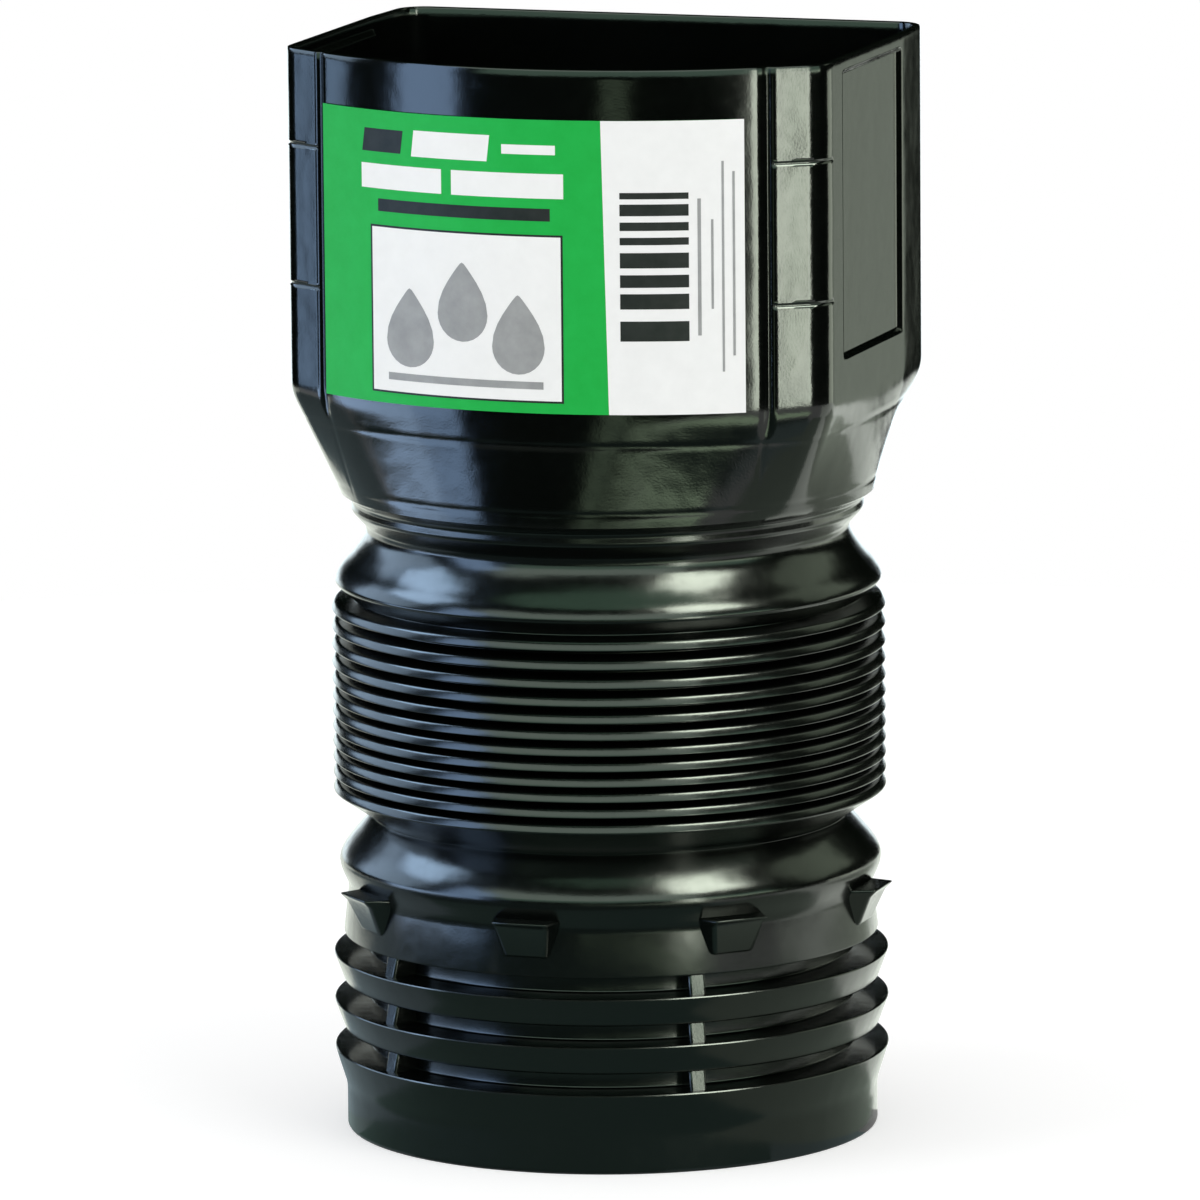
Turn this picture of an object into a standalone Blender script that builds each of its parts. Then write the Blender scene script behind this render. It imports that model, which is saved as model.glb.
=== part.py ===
"""Flexible downspout adapter: a bowed rectangular cup for the downspout, a bellows that bends,
and a barbed round spigot that snaps into a 4 in corrugated drain pipe.

The adapter is one blow-moulded plastic skin, open at both ends, with an adhesive label on the cup.
Units are metres. +Z is up, the round axis is the Z axis, the spigot's open end lies at Z = 0, and
the labelled front faces -Y.
"""

import math

import bmesh
import bpy

# Walls
WALL = 0.0015
BELLOWS_WALL = 0.0009

# Spigot: a plain collar, then barbs with a deep groove above each one. The collar's radius sets
# the whole round stretch: a reach goes out from it, and a depth goes in from it
COLLAR_RADIUS = 0.0515
COLLAR_HEIGHT = 0.0082
BARB_COUNT = 3
BARB_PITCH = 0.0093
FIRST_BARB_HEIGHT = 0.0076
BARB_RIM_REACH = 0.0024
BARB_LIP_REACH = 0.0003
GROOVE_HEIGHT = 0.0037
GROOVE_DEPTH = 0.0047

# Webs that bridge the grooves, at this angle on both sides of the front and of the back
WEB_ANGLE = math.radians(37)
WEB_WIDTH = 0.0033

# Band above the barbs, with snap cleats that are widest at their top; the places count
# anticlockwise from the front, and the one on the left side is empty
BAND_HEIGHT = 0.0095
BAND_TOP_DEPTH = 0.0008
CLEAT_PLACES = 8
EMPTY_CLEAT_PLACE = 6
CLEAT_BASE_GAP = 0.0036
CLEAT_HEIGHT = 0.0074
CLEAT_TOP_WIDTH = 0.0140
CLEAT_BOTTOM_WIDTH = 0.0104
CLEAT_TOP_REACH = 0.0044
CLEAT_BOTTOM_REACH = 0.0003
CLEAT_SIDE_SLOPE = 0.0014

# Lower shoulder and neck
LOWER_SHOULDER_REACH = 0.0012
LOWER_SHOULDER_RISE = 0.0043
LOWER_SHOULDER_HEIGHT = 0.0116
LOWER_NECK_DEPTH = 0.0057
LOWER_NECK_HEIGHT = 0.0019

# Bellows, pressed together
PLEAT_COUNT = 12
PLEAT_PITCH = 0.0032
PLEAT_CREST_REACH = 0.0022
PLEAT_VALLEY_DEPTH = 0.0020
PLEAT_CREST_WIDTH = 0.0016
SKIRT_HEIGHT = 0.0056

# Upper shoulder, neck and the throat that opens to the cup
UPPER_SHOULDER_REACH = 0.0014
UPPER_SHOULDER_LIFT = 0.0031
UPPER_SHOULDER_HEIGHT = 0.0060
UPPER_SHOULDER_BULGE = 0.0005
UPPER_NECK_DEPTH = 0.0049
UPPER_NECK_HEIGHT = 0.0040
THROAT_REACH = 0.0001
THROAT_HEIGHT = 0.0074
THROAT_BULGE = 0.0004

# Cup: straight back and sides, a bowed front, and a flat post with a groove beside it at each
# front corner
TRANSITION_HEIGHT = 0.0207
CUP_HEIGHT = 0.0665
CUP_WIDTH = 0.1088
CUP_FRONT = 0.0512
CUP_BACK = 0.0372
FRONT_BOW_RADIUS = 0.0780
POST_WIDTH = 0.0079
POST_TURN = math.radians(33)
POST_GROOVE_WIDTH = 0.0020
POST_GROOVE_DEPTH = 0.0010
FRONT_CORNER_RADIUS = 0.0050
BACK_CORNER_RADIUS = 0.0060

# Recessed panel in each side of the cup
PANEL_FRONT_MARGIN = 0.0073
PANEL_BACK_MARGIN = 0.0135
PANEL_BOTTOM_MARGIN = 0.0088
PANEL_TOP_MARGIN = 0.0022
PANEL_DEPTH = 0.0013
PANEL_EDGE = 0.0011

# Adhesive label on the bowed front, set a little to the left
LABEL_LEFT_MARGIN = 0.0003
LABEL_RIGHT_MARGIN = 0.0030
LABEL_BOTTOM_MARGIN = 0.0012
LABEL_TOP_MARGIN = 0.0095
LABEL_THICKNESS = 0.0002
LABEL_GAP = 0.0003

# Facets
ROUND_SIDES = 40
SHOULDER_STEPS = 4
FRONT_STEPS = 7
CORNER_STEPS = 4
SIDE_STEPS = 3
BACK_STEPS = 4
TRANSITION_STEPS = 3
LABEL_STEPS = 16
SHARP_ANGLE = math.radians(30)

# How far a cleat or web reaches into the wall that carries it
ROOT_DEPTH = WALL * 0.6

# Radii of the round stretch
BARB_RIM_RADIUS = COLLAR_RADIUS + BARB_RIM_REACH
BARB_LIP_RADIUS = COLLAR_RADIUS + BARB_LIP_REACH
GROOVE_RADIUS = COLLAR_RADIUS - GROOVE_DEPTH
BAND_TOP_RADIUS = COLLAR_RADIUS - BAND_TOP_DEPTH
LOWER_SHOULDER_RADIUS = COLLAR_RADIUS + LOWER_SHOULDER_REACH
LOWER_NECK_RADIUS = COLLAR_RADIUS - LOWER_NECK_DEPTH
PLEAT_CREST_RADIUS = COLLAR_RADIUS + PLEAT_CREST_REACH
PLEAT_VALLEY_RADIUS = COLLAR_RADIUS - PLEAT_VALLEY_DEPTH
UPPER_SHOULDER_RADIUS = COLLAR_RADIUS + UPPER_SHOULDER_REACH
UPPER_NECK_RADIUS = COLLAR_RADIUS - UPPER_NECK_DEPTH
THROAT_RADIUS = COLLAR_RADIUS + THROAT_REACH

# Heights up the axis
FIRST_RIM_Z = COLLAR_HEIGHT + FIRST_BARB_HEIGHT
BAND_Z = FIRST_RIM_Z + (BARB_COUNT - 1) * BARB_PITCH + GROOVE_HEIGHT
LOWER_SHOULDER_Z = BAND_Z + BAND_HEIGHT
LOWER_NECK_Z = LOWER_SHOULDER_Z + LOWER_SHOULDER_HEIGHT
SKIRT_Z = LOWER_NECK_Z + LOWER_NECK_HEIGHT
PLEATS_Z = SKIRT_Z + SKIRT_HEIGHT
UPPER_SHOULDER_Z = PLEATS_Z + PLEAT_COUNT * PLEAT_PITCH + UPPER_SHOULDER_LIFT - BELLOWS_WALL
UPPER_NECK_Z = UPPER_SHOULDER_Z + UPPER_SHOULDER_HEIGHT
THROAT_Z = UPPER_NECK_Z + UPPER_NECK_HEIGHT
TRANSITION_Z = THROAT_Z + THROAT_HEIGHT
CUP_Z = TRANSITION_Z + TRANSITION_HEIGHT
RIM_Z = CUP_Z + CUP_HEIGHT

# Where the flat post starts, and where the bowed front ends, across from the middle
POST_X = (CUP_WIDTH / 2 - FRONT_CORNER_RADIUS * (1 - math.sin(POST_TURN))
          - POST_WIDTH * math.cos(POST_TURN))
BOW_END = POST_X - POST_GROOVE_WIDTH


def clear_scene():
    for item in list(bpy.data.objects):
        bpy.data.objects.remove(item, do_unlink=True)


def make_material(name, colour, roughness, metallic=0.0):
    material = bpy.data.materials.new(name)
    material.use_nodes = True
    shader = material.node_tree.nodes["Principled BSDF"]
    shader.inputs["Base Color"].default_value = (*colour, 1.0)
    shader.inputs["Roughness"].default_value = roughness
    shader.inputs["Metallic"].default_value = metallic
    return material


def make_object(name, bm, material=None):
    """Turn a bmesh into a smooth-shaded object with outward faces."""
    bmesh.ops.recalc_face_normals(bm, faces=bm.faces)
    mesh = bpy.data.meshes.new(name)
    bm.to_mesh(mesh)
    bm.free()
    mesh.shade_smooth()
    mesh.set_sharp_from_angle(angle=SHARP_ANGLE)
    if material is not None:
        mesh.materials.append(material)
    item = bpy.data.objects.new(name, mesh)
    bpy.context.scene.collection.objects.link(item)
    return item


# Plane curves

def unit(dx, dy):
    length = math.hypot(dx, dy)
    return dx / length, dy / length


def offset(points, distance, closed=False):
    """Shift a path to the left of its direction by the distance, with mitred corners."""
    count = len(points)
    shifted = []
    for i, (x, y) in enumerate(points):
        before = points[i - 1] if closed or i > 0 else None
        after = points[(i + 1) % count] if closed or i < count - 1 else None
        normals = []
        if before is not None:
            dx, dy = unit(x - before[0], y - before[1])
            normals.append((-dy, dx))
        if after is not None:
            dx, dy = unit(after[0] - x, after[1] - y)
            normals.append((-dy, dx))
        nx = sum(n[0] for n in normals)
        ny = sum(n[1] for n in normals)
        stretch = distance * 2 / (nx * nx + ny * ny) if len(normals) == 2 else distance
        shifted.append((x + nx * stretch, y + ny * stretch))
    return shifted


def arc_between(start, end, bulge, steps):
    """Points after start, up to end, on an arc that bulges to the right of its direction."""
    chord = math.hypot(end[0] - start[0], end[1] - start[1])
    dx, dy = unit(end[0] - start[0], end[1] - start[1])
    points = []
    for i in range(1, steps + 1):
        t = i / steps
        along = chord * t
        out = 4 * bulge * t * (1 - t)
        points.append((start[0] + dx * along + dy * out, start[1] + dy * along - dx * out))
    return points


def quarter_oval(corner, end, steps):
    """Points after corner, up to end, on a quarter of an oval that leaves corner straight up."""
    points = []
    for i in range(1, steps + 1):
        angle = math.pi / 2 * i / steps
        radius = end[0] + (corner[0] - end[0]) * math.cos(angle)
        height = corner[1] + (end[1] - corner[1]) * math.sin(angle)
        points.append((radius, height))
    return points


# Profile of the round stretch, as (radius, height) up its outer side

def spigot_profile():
    """Collar, barbs with their grooves, and the band, up to the band's top edge."""
    points = [(COLLAR_RADIUS, 0.0), (COLLAR_RADIUS, COLLAR_HEIGHT)]
    for i in range(BARB_COUNT):
        rim = FIRST_RIM_Z + i * BARB_PITCH
        points.append((BARB_RIM_RADIUS, rim))
        points.append((GROOVE_RADIUS, rim))
        points.append((GROOVE_RADIUS, rim + GROOVE_HEIGHT))
        points.append((BARB_LIP_RADIUS, rim + GROOVE_HEIGHT))
    points.append((BAND_TOP_RADIUS, LOWER_SHOULDER_Z))
    return points


def lower_profile():
    """The spigot, the lower shoulder and the neck, up to the foot of the bellows' skirt."""
    widest = (LOWER_SHOULDER_RADIUS, LOWER_SHOULDER_Z + LOWER_SHOULDER_RISE)
    points = spigot_profile()
    points.append(widest)
    points += quarter_oval(widest, (LOWER_NECK_RADIUS, LOWER_NECK_Z), SHOULDER_STEPS)
    points.append((LOWER_NECK_RADIUS, SKIRT_Z))
    return points


def pleat_profiles():
    """Outer and inner points of the bellows, from its lowest crest to its top valley."""
    outer = []
    inner = []
    crest_inset = BELLOWS_WALL * 1.5
    for i in range(PLEAT_COUNT):
        base = PLEATS_Z + i * PLEAT_PITCH
        middle = base + PLEAT_CREST_WIDTH / 2
        valley = base + (PLEAT_CREST_WIDTH + PLEAT_PITCH) / 2
        outer.append((PLEAT_CREST_RADIUS, base))
        outer.append((PLEAT_CREST_RADIUS, base + PLEAT_CREST_WIDTH))
        outer.append((PLEAT_VALLEY_RADIUS, valley))
        inner.append((PLEAT_CREST_RADIUS - crest_inset, middle))
        inner.append((PLEAT_VALLEY_RADIUS - BELLOWS_WALL, valley))
    return outer, inner


def upper_profile():
    """Upper shoulder, neck and throat, up to the foot of the transition."""
    points = [(UPPER_SHOULDER_RADIUS, UPPER_SHOULDER_Z)]
    neck = (UPPER_NECK_RADIUS, UPPER_NECK_Z)
    points += arc_between(points[-1], neck, UPPER_SHOULDER_BULGE, SHOULDER_STEPS)
    points.append((UPPER_NECK_RADIUS, THROAT_Z))
    foot = (THROAT_RADIUS, TRANSITION_Z)
    points += arc_between(points[-1], foot, THROAT_BULGE, SHOULDER_STEPS)
    return points


def round_profiles():
    """Matching outer and inner profiles of the whole round stretch."""
    lower = lower_profile()
    upper = upper_profile()
    pleats_outer, pleats_inner = pleat_profiles()
    lower_inner = offset(lower, WALL)
    lower_inner[0] = (COLLAR_RADIUS - WALL, 0.0)
    upper_inner = offset(upper, WALL)
    upper_inner[0] = (UPPER_SHOULDER_RADIUS - 2 * WALL, UPPER_SHOULDER_Z + WALL / 2)
    upper_inner[-1] = (THROAT_RADIUS - WALL, TRANSITION_Z)
    outer = lower + pleats_outer + upper
    inner = lower_inner + pleats_inner + upper_inner
    return outer, inner


# Plan of the cup, as (x, y) points anticlockwise from the middle of the front

def front_y(x):
    """Depth of the bowed front at a distance from its middle."""
    return -CUP_FRONT + FRONT_BOW_RADIUS - math.sqrt(FRONT_BOW_RADIUS ** 2 - x ** 2)


def corner_arc(centre, radius, start, end):
    points = []
    for i in range(CORNER_STEPS + 1):
        angle = start + (end - start) * i / CORNER_STEPS
        points.append((centre[0] + radius * math.cos(angle), centre[1] + radius * math.sin(angle)))
    return points


def half_plan(recess):
    """The right half of the cup's outline, with its side panel pushed in by the recess."""
    side = CUP_WIDTH / 2
    points = [(BOW_END * i / FRONT_STEPS, front_y(BOW_END * i / FRONT_STEPS))
              for i in range(FRONT_STEPS + 1)]
    groove_x = BOW_END + POST_GROOVE_WIDTH / 2
    points.append((groove_x, front_y(groove_x) + POST_GROOVE_DEPTH))
    points.append((POST_X, front_y(POST_X)))

    post_end = (POST_X + POST_WIDTH * math.cos(POST_TURN),
                front_y(POST_X) + POST_WIDTH * math.sin(POST_TURN))
    centre = (side - FRONT_CORNER_RADIUS,
              post_end[1] + FRONT_CORNER_RADIUS * math.cos(POST_TURN))
    points += corner_arc(centre, FRONT_CORNER_RADIUS, POST_TURN - math.pi / 2, 0.0)

    panel_start = centre[1] + PANEL_FRONT_MARGIN
    panel_end = CUP_BACK - BACK_CORNER_RADIUS - PANEL_BACK_MARGIN
    points.append((side, panel_start))
    flat_start = panel_start + PANEL_EDGE
    flat_end = panel_end - PANEL_EDGE
    for i in range(SIDE_STEPS + 1):
        points.append((side - recess, flat_start + (flat_end - flat_start) * i / SIDE_STEPS))
    points.append((side, panel_end))

    centre = (side - BACK_CORNER_RADIUS, CUP_BACK - BACK_CORNER_RADIUS)
    points += corner_arc(centre, BACK_CORNER_RADIUS, 0.0, math.pi / 2)
    for i in range(1, BACK_STEPS + 1):
        points.append((centre[0] * (1 - i / BACK_STEPS), CUP_BACK))
    return points


def cup_plan(inset=0.0, recess=0.0):
    """The cup's closed outline, moved inward by the inset."""
    right = half_plan(recess)
    left = [(-x, y) for x, y in reversed(right[1:-1])]
    outline = right + left
    return offset(outline, inset, closed=True) if inset else outline


# Skin

def circle_ring(bm, radius, z):
    ring = []
    for i in range(ROUND_SIDES):
        angle = 2 * math.pi * i / ROUND_SIDES - math.pi / 2
        ring.append(bm.verts.new((radius * math.cos(angle), radius * math.sin(angle), z)))
    return ring


def plan_ring(bm, plan, z):
    return [bm.verts.new((x, y, z)) for x, y in plan]


def blended_ring(bm, plan, radius, share, z):
    """A ring between a circle of the radius, at share 0, and the cup's plan, at share 1."""
    ring = []
    for x, y in plan:
        ux, uy = unit(x, y)
        ring.append(bm.verts.new((radius * ux * (1 - share) + x * share,
                                  radius * uy * (1 - share) + y * share, z)))
    return ring


def skin(bm, lower, upper):
    """Join two rings with the same number of points."""
    count = len(lower)
    for i in range(count):
        j = (i + 1) % count
        bm.faces.new((lower[i], lower[j], upper[j], upper[i]))


def turn_of(vert):
    """Angle of a point round the axis, from the middle of the front."""
    return (math.atan2(vert.co.y, vert.co.x) + math.pi / 2) % (2 * math.pi)


def stitch(bm, lower, upper):
    """Join two rings that start at the front and have different numbers of points."""
    full = 2 * math.pi
    turns_low = [0.0] + [turn_of(v) for v in lower[1:]] + [full]
    turns_up = [0.0] + [turn_of(v) for v in upper[1:]] + [full]
    i = 0
    j = 0
    while i < len(lower) or j < len(upper):
        low = lower[i % len(lower)]
        up = upper[j % len(upper)]
        step_low = j == len(upper) or (i < len(lower) and turns_low[i + 1] <= turns_up[j + 1])
        if step_low:
            i += 1
            bm.faces.new((low, lower[i % len(lower)], up))
        else:
            j += 1
            bm.faces.new((low, upper[j % len(upper)], up))


def cup_rings(bm, inset):
    """Rings of one side of the cup's wall, from the transition's foot to the rim."""
    plain = cup_plan(inset)
    pushed = cup_plan(inset, PANEL_DEPTH)
    radius = THROAT_RADIUS - inset
    rings = []
    for i in range(TRANSITION_STEPS + 1):
        share = i / TRANSITION_STEPS
        rings.append(blended_ring(bm, plain, radius, share, TRANSITION_Z + TRANSITION_HEIGHT * share))
    panel_base = CUP_Z + PANEL_BOTTOM_MARGIN
    panel_top = RIM_Z - PANEL_TOP_MARGIN
    rings.append(plan_ring(bm, plain, panel_base))
    rings.append(plan_ring(bm, pushed, panel_base + PANEL_EDGE))
    rings.append(plan_ring(bm, pushed, panel_top - PANEL_EDGE))
    rings.append(plan_ring(bm, plain, panel_top))
    rings.append(plan_ring(bm, plain, RIM_Z))
    return rings


def wall_side(bm, profile, inset):
    """One side of the wall, from the spigot's end to the cup's rim; returns its end rings."""
    round_rings = [circle_ring(bm, radius, z) for radius, z in profile[:-1]]
    cup = cup_rings(bm, inset)
    for lower, upper in zip(round_rings, round_rings[1:]):
        skin(bm, lower, upper)
    stitch(bm, round_rings[-1], cup[0])
    for lower, upper in zip(cup, cup[1:]):
        skin(bm, lower, upper)
    return round_rings[0], cup[-1]


# Cleats and webs

def add_prism(bm, sections):
    """A closed solid through a row of four-sided sections."""
    rings = [[bm.verts.new(point) for point in section] for section in sections]
    bm.faces.new(reversed(rings[0]))
    bm.faces.new(rings[-1])
    for lower, upper in zip(rings, rings[1:]):
        skin(bm, lower, upper)


def placed(angle, out, across, z):
    """A point at a distance out from the axis and across, for an angle from the front."""
    return (out * math.sin(angle) + across * math.cos(angle),
            -out * math.cos(angle) + across * math.sin(angle), z)


def between(start, end, share):
    return start + (end - start) * share


def surface_radius(z):
    """Outer radius of the band, or of the shoulder's foot above it, at a height."""
    if z < LOWER_SHOULDER_Z:
        return between(BARB_LIP_RADIUS, BAND_TOP_RADIUS, (z - BAND_Z) / BAND_HEIGHT)
    share = (z - LOWER_SHOULDER_Z) / LOWER_SHOULDER_RISE
    return between(BAND_TOP_RADIUS, LOWER_SHOULDER_RADIUS, min(share, 1.0))


def cleat_section(angle, z, share):
    """Level section of a cleat, at share 0 at its bottom and 1 at its top."""
    surface = surface_radius(z)
    root = surface - ROOT_DEPTH
    outer = surface + between(CLEAT_BOTTOM_REACH, CLEAT_TOP_REACH, share)
    half = between(CLEAT_BOTTOM_WIDTH, CLEAT_TOP_WIDTH, share) / 2
    outer_half = half - CLEAT_SIDE_SLOPE
    return [placed(angle, root, -half, z), placed(angle, outer, -outer_half, z),
            placed(angle, outer, outer_half, z), placed(angle, root, half, z)]


def build_cleats():
    """A ring of cleats; each one bends where the shoulder begins."""
    bm = bmesh.new()
    bottom = BAND_Z + CLEAT_BASE_GAP
    bend = (LOWER_SHOULDER_Z - bottom) / CLEAT_HEIGHT
    shares = [0.0, bend, 1.0] if 0 < bend < 1 else [0.0, 1.0]
    for i in range(CLEAT_PLACES):
        if i == EMPTY_CLEAT_PLACE:
            continue
        angle = 2 * math.pi * i / CLEAT_PLACES
        add_prism(bm, [cleat_section(angle, bottom + CLEAT_HEIGHT * share, share)
                       for share in shares])
    return make_object("cleats", bm)


def web_section(angle, outer, z):
    root = GROOVE_RADIUS - ROOT_DEPTH
    half = WEB_WIDTH / 2
    return [placed(angle, root, -half, z), placed(angle, outer, -half, z),
            placed(angle, outer, half, z), placed(angle, root, half, z)]


def build_webs():
    bm = bmesh.new()
    angles = [WEB_ANGLE, -WEB_ANGLE, math.pi - WEB_ANGLE, math.pi + WEB_ANGLE]
    for i in range(BARB_COUNT):
        floor = FIRST_RIM_Z + i * BARB_PITCH
        for angle in angles:
            low = web_section(angle, BARB_RIM_RADIUS - ROOT_DEPTH * 2, floor - ROOT_DEPTH)
            high = web_section(angle, BARB_LIP_RADIUS - ROOT_DEPTH,
                               floor + GROOVE_HEIGHT + ROOT_DEPTH)
            add_prism(bm, [low, high])
    return make_object("webs", bm)


def join_solid(target, tool):
    """Unite a tool object with the target, and leave the tool as a hidden guide."""
    union = target.modifiers.new("Join " + tool.name, "BOOLEAN")
    union.operation = "UNION"
    union.solver = "EXACT"
    union.object = tool
    tool.hide_render = True
    tool.display_type = "WIRE"


# Sub-parts

def build_adapter(material):
    bm = bmesh.new()
    outer, inner = round_profiles()
    outer_base, outer_rim = wall_side(bm, outer, 0.0)
    inner_base, inner_rim = wall_side(bm, inner, WALL)
    skin(bm, inner_base, outer_base)
    skin(bm, outer_rim, inner_rim)
    adapter = make_object("adapter_body", bm, material)
    join_solid(adapter, build_cleats())
    join_solid(adapter, build_webs())
    return adapter


def build_label(material):
    """A thin sheet that follows the bowed front."""
    bm = bmesh.new()
    path = []
    for i in range(LABEL_STEPS + 1):
        x = between(LABEL_LEFT_MARGIN - BOW_END, BOW_END - LABEL_RIGHT_MARGIN, i / LABEL_STEPS)
        path.append((x, front_y(x)))
    back = offset(path, -LABEL_GAP)
    front = offset(path, -LABEL_GAP - LABEL_THICKNESS)
    section = back + front[::-1]
    low = plan_ring(bm, section, CUP_Z + LABEL_BOTTOM_MARGIN)
    high = plan_ring(bm, section, RIM_Z - LABEL_TOP_MARGIN)
    skin(bm, low, high)
    last = len(section) - 1
    for i in range(LABEL_STEPS):
        for ring in (low, high):
            bm.faces.new((ring[i], ring[i + 1], ring[last - i - 1], ring[last - i]))
    return make_object("label", bm, material)


def build():
    clear_scene()
    build_adapter(make_material("Black polyethylene", (0.012, 0.014, 0.012), 0.22))
    build_label(make_material("Green and white label", (0.02, 0.42, 0.08), 0.35))


build()
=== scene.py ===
"""Looks of the flexible downspout adapter: a smooth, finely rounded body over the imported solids,
its label with generic print, their materials, the lamps, the floor and the camera.
"""
import math

import bmesh
import bpy
from mathutils import Matrix, Vector


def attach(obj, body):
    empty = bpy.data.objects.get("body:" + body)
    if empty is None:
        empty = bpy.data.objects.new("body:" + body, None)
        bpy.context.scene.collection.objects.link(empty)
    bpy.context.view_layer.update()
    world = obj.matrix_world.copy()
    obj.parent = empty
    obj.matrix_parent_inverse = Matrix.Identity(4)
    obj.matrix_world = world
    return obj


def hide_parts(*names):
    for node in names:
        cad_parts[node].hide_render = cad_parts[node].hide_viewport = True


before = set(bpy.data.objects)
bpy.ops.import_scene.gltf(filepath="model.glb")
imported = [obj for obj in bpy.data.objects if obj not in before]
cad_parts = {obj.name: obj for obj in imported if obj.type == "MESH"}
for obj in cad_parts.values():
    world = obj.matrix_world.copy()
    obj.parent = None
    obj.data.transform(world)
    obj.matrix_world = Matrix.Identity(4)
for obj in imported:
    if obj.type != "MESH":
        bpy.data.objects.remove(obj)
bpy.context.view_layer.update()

# Sizes of the moulding, in metres. They are those of the solids, apart from small relief: the lips
# of the pleats, the posts with the corners behind them, the side panels, and the rear of the sides
WALL = 0.0015
BELLOWS_WALL = 0.0009
COLLAR_RADIUS = 0.0515
COLLAR_HEIGHT = 0.0082
BARB_COUNT = 3
BARB_PITCH = 0.0093
BARB_RIM_RADIUS = COLLAR_RADIUS + 0.0024
BARB_LIP_RADIUS = COLLAR_RADIUS + 0.0003
GROOVE_RADIUS = COLLAR_RADIUS - 0.0047
GROOVE_HEIGHT = 0.0037
BARB_ROUNDING = 0.0006
GROOVE_ROUNDING = 0.0004
WEB_ANGLE = math.radians(37)
WEB_WIDTH = 0.0033
WEB_BOTTOM_RADIUS = BARB_RIM_RADIUS - 0.0018
WEB_TOP_RADIUS = BARB_LIP_RADIUS - 0.0009
WEB_OVERLAP = 0.0009
WEB_BEVEL = 0.0005
BAND_HEIGHT = 0.0095
BAND_TOP_RADIUS = COLLAR_RADIUS - 0.0008
CLEAT_PLACES = 8
EMPTY_CLEAT_PLACE = 6
CLEAT_BASE_GAP = 0.0036
CLEAT_HEIGHT = 0.0074
CLEAT_TOP_WIDTH = 0.0140
CLEAT_BOTTOM_WIDTH = 0.0104
CLEAT_TOP_REACH = 0.0044
CLEAT_BOTTOM_REACH = 0.0003
CLEAT_SIDE_SLOPE = 0.0014
CLEAT_BEVEL = 0.0008
LOWER_SHOULDER_RADIUS = COLLAR_RADIUS + 0.0012
LOWER_SHOULDER_RISE = 0.0043
LOWER_SHOULDER_HEIGHT = 0.0116
LOWER_NECK_RADIUS = COLLAR_RADIUS - 0.0057
PLEAT_COUNT = 12
PLEAT_PITCH = 0.0032
PLEAT_CREST_RADIUS = COLLAR_RADIUS + 0.0022
PLEAT_VALLEY_RADIUS = COLLAR_RADIUS - 0.0020
PLEAT_CREST_WIDTH = 0.0016
PLEAT_LIP_FALL = 0.0007
PLEAT_DROP = 0.00035
PLEAT_SAG = 0.0012
PLEAT_SAG_SKEW = 1.4
UPPER_SHOULDER_RADIUS = COLLAR_RADIUS + 0.0014
UPPER_NECK_RADIUS = COLLAR_RADIUS - 0.0049
THROAT_RADIUS = COLLAR_RADIUS + 0.0001
CUP_WIDTH = 0.1088
CUP_FRONT = 0.0512
CUP_BACK = 0.0372
FRONT_BOW_RADIUS = 0.0780
POST_WIDTH = 0.0070
POST_TURN = math.radians(34)
POST_GROOVE_WIDTH = 0.0020
POST_GROOVE_DEPTH = 0.0010
POST_GROOVE_FADE = 0.0050
POST_GROOVE_EDGE_RADIUS = 0.0007
POST_GROOVE_FLOOR_RADIUS = 0.0006
FRONT_CORNER_RADIUS = 0.0070
BACK_CORNER_RADIUS = 0.0060
PANEL_FRONT_MARGIN = 0.0061
PANEL_BACK_MARGIN = 0.0135
PANEL_BOTTOM_MARGIN = 0.0088
PANEL_TOP_MARGIN = 0.0022
PANEL_DEPTH = 0.0009
PANEL_EDGE = 0.0018
PANEL_END_EDGE = 0.0011
SIDE_TURN_IN = 0.0008
RIM_ROUNDING = 0.00035
WALL_OVERLAP = WALL * 0.6

# Heights up the axis
FIRST_RIM_Z = COLLAR_HEIGHT + 0.0076
BAND_Z = FIRST_RIM_Z + (BARB_COUNT - 1) * BARB_PITCH + GROOVE_HEIGHT
LOWER_SHOULDER_Z = BAND_Z + BAND_HEIGHT
LOWER_NECK_Z = LOWER_SHOULDER_Z + LOWER_SHOULDER_HEIGHT
SKIRT_Z = LOWER_NECK_Z + 0.0019
PLEATS_Z = SKIRT_Z + 0.0056
UPPER_SHOULDER_Z = PLEATS_Z + PLEAT_COUNT * PLEAT_PITCH + 0.0031 - BELLOWS_WALL
UPPER_NECK_Z = UPPER_SHOULDER_Z + 0.0060
THROAT_Z = UPPER_NECK_Z + 0.0040
TRANSITION_Z = THROAT_Z + 0.0074
CUP_Z = TRANSITION_Z + 0.0207
RIM_Z = CUP_Z + 0.0665
POST_X = (CUP_WIDTH / 2 - FRONT_CORNER_RADIUS * (1 - math.sin(POST_TURN))
          - POST_WIDTH * math.cos(POST_TURN))
BOW_END = POST_X - POST_GROOVE_WIDTH

# Small moulded marks across the posts, and faint seams round the transition
MARK_HEIGHTS = (0.1665, 0.1935)
MARK_WIDTH = 0.0010
MARK_DEPTH = 0.00025
SEAM_HEIGHTS = (0.1272, 0.1403)
SEAM_WIDTH = 0.0014
SEAM_DEPTH = 0.00004

# Even rings of the cup, between those that its details need
EVEN_RING_HEIGHTS = (0.16, 0.174, 0.18, 0.187, 0.199)

# Adhesive label
LABEL_LEFT = 0.0003 - BOW_END
LABEL_RIGHT = BOW_END - 0.0039
LABEL_BOTTOM = CUP_Z + 0.0012
LABEL_TOP = RIM_Z - 0.0095
LABEL_GAP = 0.0003
LABEL_THICKNESS = 0.0002
PRINT_LIFT = 0.00003

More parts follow.
